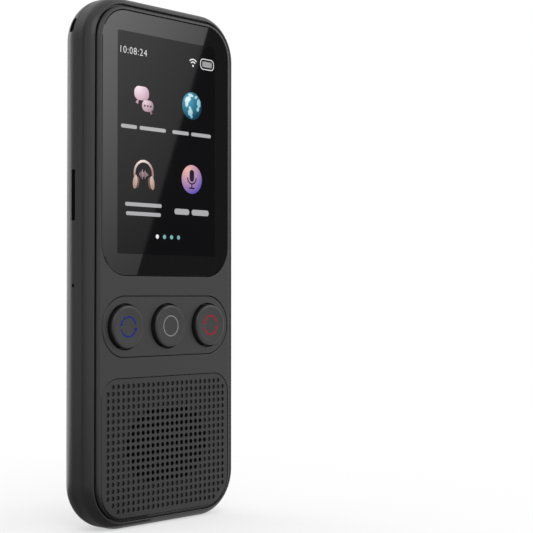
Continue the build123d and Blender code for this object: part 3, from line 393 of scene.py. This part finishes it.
# --- Cover glass and the lit picture -----------------------------------------
# A flat pane of toughened glass with ground edges, bonded into the front cover. Black
# ink on its back leaves a window, and the lit display is bonded up against that.
def polished_glass(name, colour, index, smear):
    """Glass with black behind it: a clear mirror, with a trace of smears in its gloss."""
    wipe_width = 9 * mm
    material = new_material(name)
    place = add_node(material, "TexCoord")
    wipes = add_node(material, "TexNoise", {"Scale": 1 / wipe_width, "Detail": 3.0},
                     {"Vector": (place, "Object")})
    gloss = add_node(material, "MapRange", {"To Min": 0.0, "To Max": smear}, {"Value": (wipes, "Fac")})
    shader = add_node(material, "BsdfPrincipled", {"Base Color": linear(colour), "IOR": index},
                      {"Roughness": (gloss, "Result")})
    add_node(material, "OutputMaterial", {}, {"Surface": (shader, "BSDF")})
    return material


window_index = 1.27            # the bonded window mirrors less than the bare pane round it


def lit_pixels(name, near, far, centre, reach):
    """Light of the display, from a near colour at a point to a far one all round it."""
    material = new_material(name)
    place = add_node(material, "TexCoord")
    spot = (centre[0] * mm, 0, centre[1] * mm)
    flat = add_node(material, "VectorMath", {"operation": "MULTIPLY", 1: (1, 0, 1)}, {0: (place, "Object")})
    way = add_node(material, "VectorMath", {"operation": "DISTANCE", 1: spot}, {0: (flat, "Vector")})
    share = add_node(material, "MapRange", {"From Max": reach * mm}, {"Value": (way, "Value")})
    tone = add_node(material, "Mix", {"data_type": "RGBA", 6: linear(near), 7: linear(far)},
                    {0: (share, "Result")})
    shader = add_node(material, "BsdfPrincipled",
                      {"Base Color": linear("#050505"), "Roughness": 0.03, "IOR": window_index,
                       "Emission Strength": 1.0}, {"Emission Color": (tone, 2)})
    add_node(material, "OutputMaterial", {}, {"Surface": (shader, "BSDF")})
    return material


# Toughened glass over black ink: as good as black, with a sharp mirror on top.
finish_nodes("cover_glass", polished_glass("toughened_glass_over_ink", "#121213", index=1.5, smear=0.03))

glass_low, glass_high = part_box("cover_glass")
on_glass = Matrix.Translation((0, glass_low.y, 0)) @ face_forward
layer_step = 0.008
layer_root = 0.03


def add_plate(mesh, x, y, width, height, corner, segments=4):
    """A flat rectangle with rounded corners, centred at a point."""
    plate = bmesh.ops.create_grid(mesh, x_segments=1, y_segments=1, size=0.5)["verts"]
    bmesh.ops.scale(mesh, verts=plate, vec=(width, height, 1))
    bmesh.ops.translate(mesh, verts=plate, vec=(x, y, 0))
    bmesh.ops.bevel(mesh, geom=plate, offset=corner, segments=segments, profile=0.5, affect="VERTICES",
                    material=-1)


def add_oval(mesh, x, y, width, height, turn=0.0, segments=32):
    """A flat oval centred at a point, turned by an angle in degrees."""
    oval = bmesh.ops.create_circle(mesh, cap_ends=True, segments=segments, radius=0.5)["verts"]
    bmesh.ops.scale(mesh, verts=oval, vec=(width, height, 1))
    bmesh.ops.rotate(mesh, verts=oval, cent=(0, 0, 0), matrix=Matrix.Rotation(radians(turn), 3, "Z"))
    bmesh.ops.translate(mesh, verts=oval, vec=(x, y, 0))
    return oval


def show(name, mesh, material, layer=1):
    """Bonds a flat drawing to the glass: each layer lies a hair in front of the last."""
    thicken(mesh, layer_root, layer * layer_step)
    make_piece(name, mesh, on_glass, material, "case")


# The window: a black polariser, bonded to the pane, with its backlight just leaking through.
window_width = 34.8
window_height = 55.4
window_border = 5.2
window_middle = glass_high.z / mm - window_border - window_height / 2
screen_light = (0, 96)
screen_reach = 40
window = bmesh.new()
add_plate(window, 0, window_middle, window_width, window_height, corner=0.6)
polariser = lit_pixels("black_polariser", "#0c0c0e", "#09090b", screen_light, screen_reach)
show("display_window", window, polariser, layer=0.4)

# The status line: the hour in plain digits, a signal fan and a battery.
status_row = 118.7
white_light = lit_pixels("white_pixels", "#f2f2f4", "#e6e6e8", screen_light, screen_reach)
clock_left = -17.0
clock_text = bpy.data.curves.new("clock_text", "FONT")
clock_text.body = "10:08:24"
clock_text.size = 2.5
clock_text.offset = -0.03
clock_text.space_character = 1.12
clock_text.align_y = "CENTER"
clock_shape = bpy.data.objects.new("clock_shape", clock_text)
bpy.context.scene.collection.objects.link(clock_shape)
bpy.context.view_layer.update()
clock = bmesh.new()
clock.from_mesh(bpy.data.meshes.new_from_object(clock_shape))
bpy.data.objects.remove(clock_shape)
bmesh.ops.translate(clock, verts=clock.verts[:], vec=(clock_left, status_row, 0))
show("clock_digits", clock, white_light)

status = bmesh.new()
fan_x = 9.15
fan_y = status_row - 0.95
add_oval(status, fan_x, fan_y, width=0.6, height=0.6, segments=16)
for radius in (1.0, 1.7):
    add_band(status, fan_x, fan_y, radius, stroke=0.32, start=radians(42), sweep=radians(96), steps=16)
show("signal_fan", status, white_light)

battery_x = 14.45
battery = bmesh.new()
add_plate(battery, battery_x, status_row, width=5.2, height=2.9, corner=1.15, segments=6)
add_plate(battery, battery_x, status_row, width=4.75, height=2.45, corner=0.95, segments=6)
bmesh.ops.delete(battery, geom=battery.faces[:], context="FACES_ONLY")
bmesh.ops.bridge_loops(battery, edges=battery.edges[:])
show("battery_outline", battery, white_light)
charge = bmesh.new()
add_plate(charge, battery_x, status_row, width=3.7, height=1.5, corner=0.4)
grey = lit_pixels("grey_pixels", "#a2a2a4", "#929294", (battery_x, status_row), reach=3)
show("battery_charge", charge, grey)

# Labels: a plain bar for each word of a short caption, in one line or two.
word_gap = 0.9
end_share = 0.45


def add_words(mesh, x, y, words, height):
    """A centred row of bars, one for each word's length."""
    reach = -(sum(words) + word_gap * (len(words) - 1)) / 2
    for length in words:
        add_plate(mesh, x + reach + length / 2, y, length, height, corner=height * end_share)
        reach += length + word_gap


left_column = -8.5
right_column = 8.75
upper_row = 107.2
lower_row = 88.0
upper_captions = 99.8
lower_captions = 79.4
first_line = lower_captions + 1.1
second_line = lower_captions - 1.2
small_type = 0.95
large_type = 1.5
labels = bmesh.new()
add_words(labels, left_column, upper_captions, (5.4, 9.2), small_type)
add_words(labels, right_column, upper_captions, (6.0, 7.4), small_type)
add_words(labels, left_column, first_line, (12.6,), small_type)
add_words(labels, left_column, second_line, (12.0,), small_type)
add_words(labels, right_column, lower_captions, (5.4, 6.4), large_type)
label_grey = lit_pixels("label_pixels", "#b2b2b4", "#a4a4a6", screen_light, screen_reach)
show("label_bars", labels, label_grey)

# Page dots: the first is lit white, the others teal.
dot_row = 72.7
dot_size = 1.1
dot_pitch = 2.53
first_dot = -3.7
dot = bmesh.new()
add_oval(dot, first_dot, dot_row, dot_size, dot_size, segments=24)
show("first_page_dot", dot, white_light)
dots = bmesh.new()
for i in (1, 2, 3):
    add_oval(dots, first_dot + i * dot_pitch, dot_row, dot_size, dot_size, segments=24)
teal = lit_pixels("teal_pixels", "#86b8b9", "#6ba3a5", (0, dot_row + 1), reach=6)
show("page_dots", dots, teal)

# Icon one: two speech bubbles, one with three dots in it, in pinks.
bubble = bmesh.new()
add_plate(bubble, left_column - 0.75, upper_row + 1.3, width=5.1, height=3.5, corner=1.6, segments=8)
add_oval(bubble, left_column - 2.2, upper_row - 0.9, width=1.1, height=1.9, turn=-28, segments=3)
pink = lit_pixels("pink_pixels", "#fbe9f1", "#bd8fa6", (left_column - 2, upper_row + 3), reach=4.6)
show("large_bubble", bubble, pink)
bubble = bmesh.new()
small_x = left_column + 1.35
small_y = upper_row - 1.7
add_plate(bubble, small_x, small_y, width=4.0, height=2.9, corner=1.35, segments=8)
add_oval(bubble, left_column + 2.5, upper_row - 3.3, width=1.0, height=1.6, turn=28, segments=3)
mauve = lit_pixels("mauve_pixels", "#e9cfdb", "#7c5565", (left_column + 0.6, upper_row - 0.8), reach=3.6)
show("small_bubble", bubble, mauve, layer=2)
ellipsis = bmesh.new()
for step in (-1.0, 0.0, 1.0):
    add_oval(ellipsis, small_x + step, small_y, width=0.6, height=0.6, segments=16)
plum = lit_pixels("plum_pixels", "#4a2f3b", "#3a2430", (left_column, upper_row), reach=4)
show("bubble_dots", ellipsis, plum, layer=3)

# Icon two: a blue globe with pale land, lit from the upper left.
globe = bmesh.new()
globe_size = 7.2
globe_light = (right_column - 1.2, upper_row + 1.4)
add_oval(globe, right_column, upper_row, globe_size, globe_size, segments=48)
show("globe_sea", globe, lit_pixels("sea_pixels", "#4aa2bb", "#123f56", globe_light, reach=4.8))
land = bmesh.new()
coast_raggedness = 0.09
land_patches = ((-1.55, 1.55, 2.5, 1.5, 32), (-0.4, 2.75, 2.0, 0.8, -8), (-1.9, 0.3, 1.1, 1.5, -20),
                (-0.75, -0.55, 0.9, 0.7, 0), (-0.6, -1.75, 1.7, 1.9, -25), (-0.15, -2.75, 0.8, 1.0, 0),
                (2.55, 0.9, 1.3, 2.3, 6), (2.2, -0.7, 1.0, 1.2, -20), (1.5, 2.4, 1.1, 0.8, 30))
for x, y, width, height, turn in land_patches:
    patch = add_oval(land, right_column + x, upper_row + y, width, height, turn, segments=18)
    for i, vertex in enumerate(patch):
        vertex.co.x += coast_raggedness * sin(2.3 * i)
        vertex.co.y += coast_raggedness * cos(3.1 * i)
show("globe_land", land, lit_pixels("land_pixels", "#e4f8fc", "#6fb4c6", globe_light, reach=5.2), layer=2)

# Icon three: rose-gold headphones with a sound wave between the cups.
phones = bmesh.new()
band_row = lower_row + 0.35
add_band(phones, left_column, band_row, radius=3.15, stroke=0.62, start=radians(-14), sweep=radians(208),
         steps=48)
rose = lit_pixels("band_pixels", "#ffeee6", "#a67c7c", (left_column - 1, band_row + 4), reach=5)
show("headphone_band", phones, rose)
pads = bmesh.new()
cups = bmesh.new()
cup_tilt = 9
for side in (-1, 1):
    add_oval(pads, left_column + side * 2.15, lower_row - 1.95, width=1.2, height=3.0, turn=side * cup_tilt)
    add_oval(cups, left_column + side * 2.95, lower_row - 1.85, width=1.5, height=3.5, turn=side * cup_tilt)
pad_light = lit_pixels("pad_pixels", "#8a6560", "#4a3330", (left_column, lower_row - 1), reach=4)
show("headphone_pads", pads, pad_light, layer=2)
cup_light = lit_pixels("cup_pixels", "#f6e0d4", "#9a7468", (left_column, lower_row + 0.5), reach=5.5)
show("headphone_cups", cups, cup_light, layer=3)
wave = bmesh.new()
wave_pitch = 0.47
for i, height in enumerate((0.6, 1.4, 2.4, 1.2, 2.0, 1.0, 0.6)):
    add_plate(wave, left_column + (i - 3) * wave_pitch, lower_row + 0.15, width=0.24, height=height,
              corner=0.1, segments=2)
wave_light = lit_pixels("wave_pixels", "#d0aeb4", "#94727a", (left_column, lower_row + 1), reach=2.5)
show("sound_wave", wave, wave_light)

# Icon four: a round plate from violet to peach, with a dark microphone on it.
round_icon = bmesh.new()
round_size = 7.5
add_oval(round_icon, right_column, lower_row, round_size, round_size, segments=48)
dawn = lit_pixels("violet_peach_pixels", "#f0b8a8", "#4a48b4", (right_column - 1.6, lower_row + 2.6),
                  reach=7.0)
show("round_icon", round_icon, dawn)
voice = bmesh.new()
add_plate(voice, right_column, lower_row + 0.95, width=1.7, height=3.1, corner=0.84, segments=8)
add_band(voice, right_column, lower_row + 0.45, radius=1.6, stroke=0.36, start=pi, sweep=pi, steps=24)
add_plate(voice, right_column, lower_row - 1.75, width=0.36, height=1.0, corner=0.1, segments=1)
add_plate(voice, right_column, lower_row - 2.3, width=2.0, height=0.38, corner=0.18, segments=3)
dusk = lit_pixels("dusk_pixels", "#2c2440", "#1c1830", (right_column, lower_row), reach=3)
show("microphone_sign", voice, dusk, layer=2)


# --- Floor, studio and camera ------------------------------------------------
# A plain pale floor and surround, two soft boxes in front and a strip light behind.
# Cards and flags stand where the glass and the left flank mirror them.
def add_stage(name, mesh, material):
    """A thing of the studio, which isn't part of the object."""
    data = bpy.data.meshes.new(name)
    mesh.to_mesh(data)
    mesh.free()
    data.materials.append(material)
    thing = bpy.data.objects.new(name, data)
    bpy.context.scene.collection.objects.link(thing)
    return thing


def seen_directly(owner):
    """1 where the camera, a mirror or glass sees the surface, and 0 where it gives light."""
    ray = add_node(owner, "LightPath")
    either = {"operation": "MAXIMUM"}
    mirrored = add_node(owner, "Math", either, {0: (ray, "Is Camera Ray"), 1: (ray, "Is Glossy Ray")})
    return add_node(owner, "Math", either, {0: (mirrored, "Value"), 1: (ray, "Is Transmission Ray")})


# Matt paper, seen half lit at the object and pure white away from it, so that no
# horizon shows.
paper = new_material("pale_studio_paper")
place = add_node(paper, "TexCoord")
way = add_node(paper, "VectorMath", {"operation": "LENGTH"}, {0: (place, "Object")})
fade = add_node(paper, "MapRange",
                {"interpolation_type": "SMOOTHSTEP", "From Min": 0.0, "From Max": 0.20, "To Min": 0.5},
                {"Value": (way, "Value")})
seen = seen_directly(paper)
blend_out = add_node(paper, "Math", {"operation": "MULTIPLY"}, {0: (fade, "Result"), 1: (seen, "Value")})
matt = add_node(paper, "BsdfDiffuse", {"Color": linear("#f6f6f6")})
plain = add_node(paper, "Emission", {"Color": (1, 1, 1, 1), "Strength": 1.0})
whole = add_node(paper, "MixShader", {},
                 {0: (blend_out, "Value"), 1: (matt, "BSDF"), 2: (plain, "Emission")})
add_node(paper, "OutputMaterial", {}, {"Surface": (whole, "Shader")})
floor_reach = 6.0
floor_shape = bmesh.new()
bmesh.ops.create_grid(floor_shape, x_segments=1, y_segments=1, size=floor_reach)
add_stage("floor", floor_shape, paper)

surround_light = 0.85
world = bpy.data.worlds.new("plain_surround")
bpy.context.scene.world = world
world.use_nodes = True
world.node_tree.nodes.clear()
seen = seen_directly(world)
room = add_node(world, "Background", {"Color": (1, 1, 1, 1), "Strength": surround_light})
white = add_node(world, "Background", {"Color": (1, 1, 1, 1), "Strength": 1.0})
choice = add_node(world, "MixShader", {},
                  {0: (seen, "Value"), 1: (room, "Background"), 2: (white, "Background")})
add_node(world, "OutputWorld", {}, {"Surface": (choice, "Shader")})


def soft_box(name, place, width, height, power):
    """A soft lamp that looks at the middle of the object."""
    lamp = bpy.data.lights.new(name, "AREA")
    lamp.shape = "RECTANGLE"
    lamp.size = width
    lamp.size_y = height
    lamp.energy = power
    box = bpy.data.objects.new(name, lamp)
    box.location = place
    middle = Vector((0, 0, 0.066))
    box.rotation_euler = (middle - Vector(place)).to_track_quat("-Z", "Y").to_euler()
    box.visible_camera = False
    bpy.context.scene.collection.objects.link(box)


soft_box("left_soft_box", (-0.7, -1.0, 0.9), width=0.7, height=0.7, power=4)
soft_box("right_soft_box", (0.9, -0.9, 0.7), width=0.7, height=0.7, power=4)
soft_box("back_strip", (-0.12, 1.20, 0.35), width=0.4, height=0.9, power=2.5)


def even_shine(name, strength):
    """A surface that shines evenly all over."""
    material = new_material(name)
    shine = add_node(material, "Emission", {"Color": (1, 1, 1, 1), "Strength": strength})
    add_node(material, "OutputMaterial", {}, {"Surface": (shine, "Emission")})
    return material


def shaded_shine(name, points, low, high, left, right):
    """A surface over some points that shines from low to high, and more on one side."""
    across = [point.x for point in points]
    heights = [point.z for point in points]
    material = new_material(name)
    place = add_node(material, "TexCoord")
    axes = add_node(material, "SeparateXYZ", {}, {"Vector": (place, "Object")})
    climb = add_node(material, "MapRange",
                     {"From Min": min(heights), "From Max": max(heights), "To Min": low, "To Max": high},
                     {"Value": (axes, "Z")})
    spread = add_node(material, "MapRange",
                      {"From Min": min(across), "From Max": max(across), "To Min": left, "To Max": right},
                      {"Value": (axes, "X")})
    power = add_node(material, "Math", {"operation": "MULTIPLY"},
                     {0: (climb, "Result"), 1: (spread, "Result")})
    shine = add_node(material, "Emission", {"Color": (1, 1, 1, 1)}, {"Strength": (power, "Value")})
    add_node(material, "OutputMaterial", {}, {"Surface": (shine, "Emission")})
    return material


def behind_glass(eye, corners, reach):
    """Where a card stands that the glass mirrors to an eye, from its corners in mm there."""
    mirrored_eye = Vector((eye[0], 2 * glass_low.y - eye[1], eye[2]))
    on_pane = [Vector((x * mm, glass_low.y, z * mm)) for x, z in corners]
    return [mirrored_eye + (corner - mirrored_eye) * reach for corner in on_pane]


def hang_card(name, points, material):
    """A card that only mirrors see: it gives no light and throws no shadow."""
    card = bmesh.new()
    card.faces.new([card.verts.new(point) for point in points])
    thing = add_stage(name, card, material)
    thing.visible_camera = False
    thing.visible_diffuse = False
    thing.visible_shadow = False


# The glass mirrors a white card on the left and a black one on the right, to an eye at the
# camera and to one in front. They meet along a slanting line on the glass.
side_eye = (-0.2443, -0.25366, 0.0579)
front_eye = (0.0, -0.381, 0.086)
glare_top = (15.5, 130)
glare_foot = (-11.5, 61)
black_shine = 0.05
card = behind_glass(side_eye, (glare_top, glare_foot, (-40, 61), (-40, 130)), reach=3.0)
hang_card("side_white_card", card,
          shaded_shine("side_white_card", card, low=0.55, high=2.3, left=1.6, right=0.55))
card = behind_glass(side_eye, ((40, 130), (40, 61), glare_foot, glare_top), reach=3.02)
hang_card("side_black_card", card, even_shine("side_black_card", black_shine))
card = behind_glass(front_eye, (glare_top, glare_foot, (-30, 61), (-30, 130)), reach=2.0)
hang_card("front_white_card", card,
          shaded_shine("front_white_card", card, low=1.0, high=2.6, left=1.1, right=0.8))
card = behind_glass(front_eye, ((30, 130), (30, 61), glare_foot, glare_top), reach=2.02)
hang_card("front_black_card", card, even_shine("front_black_card", black_shine))

# Black flags stand at the back left and lie on the floor up to the object, which keeps
# the flank dark between its two bright edges. A bright card on the floor beside them
# carries the strip light's edge down to the foot.
flag_turn = Matrix.Rotation(radians(139), 3, "Z")
far = 0.82
flags = (("hanging_flag", 0.05, ((far, -0.21, 0), (far, 0.21, 0), (far, 0.21, 0.9), (far, -0.21, 0.9))),
         ("lying_flag", 0.22, ((0, -0.02, mm), (far, -0.21, mm), (far, 0.21, mm), (0, 0.12, mm))),
         ("lying_card", 2.2, ((0.03, -0.02, mm), (0.03, -0.06, mm), (0.45, -0.75, mm), (far, -0.28, mm))))
for name, strength, corners in flags:
    hang_card(name, [flag_turn @ Vector(corner) for corner in corners], even_shine(name, strength))

camera_data = bpy.data.cameras.new("camera")
camera_data.sensor_width = 36.0
camera_data.lens = 91.73
camera_data.clip_start = 0.01
camera = bpy.data.objects.new("camera", camera_data)
camera.location = side_eye
sight = Vector((0.7523, 0.6585, 0.0210))
camera.rotation_euler = sight.to_track_quat("-Z", "Y").to_euler()
bpy.context.scene.collection.objects.link(camera)
bpy.context.scene.camera = camera
bpy.context.scene.view_settings.view_transform = "Standard"
